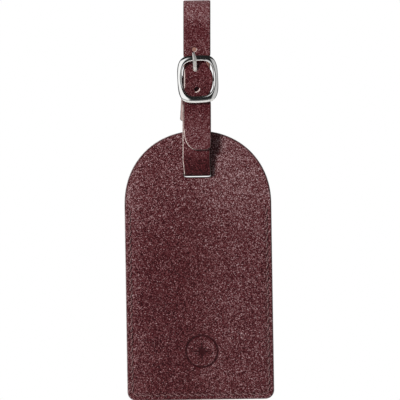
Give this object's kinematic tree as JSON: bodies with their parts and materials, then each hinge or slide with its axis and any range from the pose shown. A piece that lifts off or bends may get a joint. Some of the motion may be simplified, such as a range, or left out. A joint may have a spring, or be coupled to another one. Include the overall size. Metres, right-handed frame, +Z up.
{
  "type": "luggage tag",
  "caption": "Arch-topped leather luggage tag with a stitched card sleeve, hung on a leather strap that closes with a small metal buckle.",
  "frame": {"origin": "middle of the inside top of the strap loop, where a bag handle bears", "axes": "+Z up with the tag hanging; +X across the tag; the tag's front faces -Y"},
  "size_m": [0.066, 0.0212, 0.1797],
  "materials": {
    "leather": "pebble-grained burgundy leather, satin",
    "thread": "waxed polyester thread",
    "nickel": "polished nickel plate",
    "film": "clear flexible PVC",
    "paper": "uncoated card"
  },
  "bodies": {
    "strap_body": {"strap": "leather", "fold_stitch_upper": "thread", "fold_stitch_lower": "thread"},
    "sleeve": {"front_panel": "leather", "back_panel": "leather", "window_film": "film", "seam_needle_thread": "thread", "seam_bobbin_thread": "thread"},
    "card": {"address_card": "paper"},
    "buckle": {"buckle_frame": "nickel"},
    "tongue": {"buckle_tongue": "nickel"}
  },
  "joints": [
    {"name": "tag_swing", "type": "hinge", "parent": "strap_body", "child": "sleeve", "pos_m": [0, 0, -0.07725], "axis": [1, 0, 0], "range_deg": [-9, 9]},
    {"name": "card_slide", "type": "slide", "parent": "sleeve", "child": "card", "axis": [0, 0, 1], "range_m": [0, 0.01]},
    {"name": "buckle_pivot", "type": "hinge", "parent": "strap_body", "child": "buckle", "pos_m": [0, -0.0066, -0.0348], "axis": [1, 0, 0], "range_deg": [-2, 2]},
    {"name": "tongue_pivot", "type": "hinge", "parent": "buckle", "child": "tongue", "pos_m": [0, -0.0066, -0.0348], "axis": [1, 0, 0], "range_deg": [0, 12]}
  ]
}
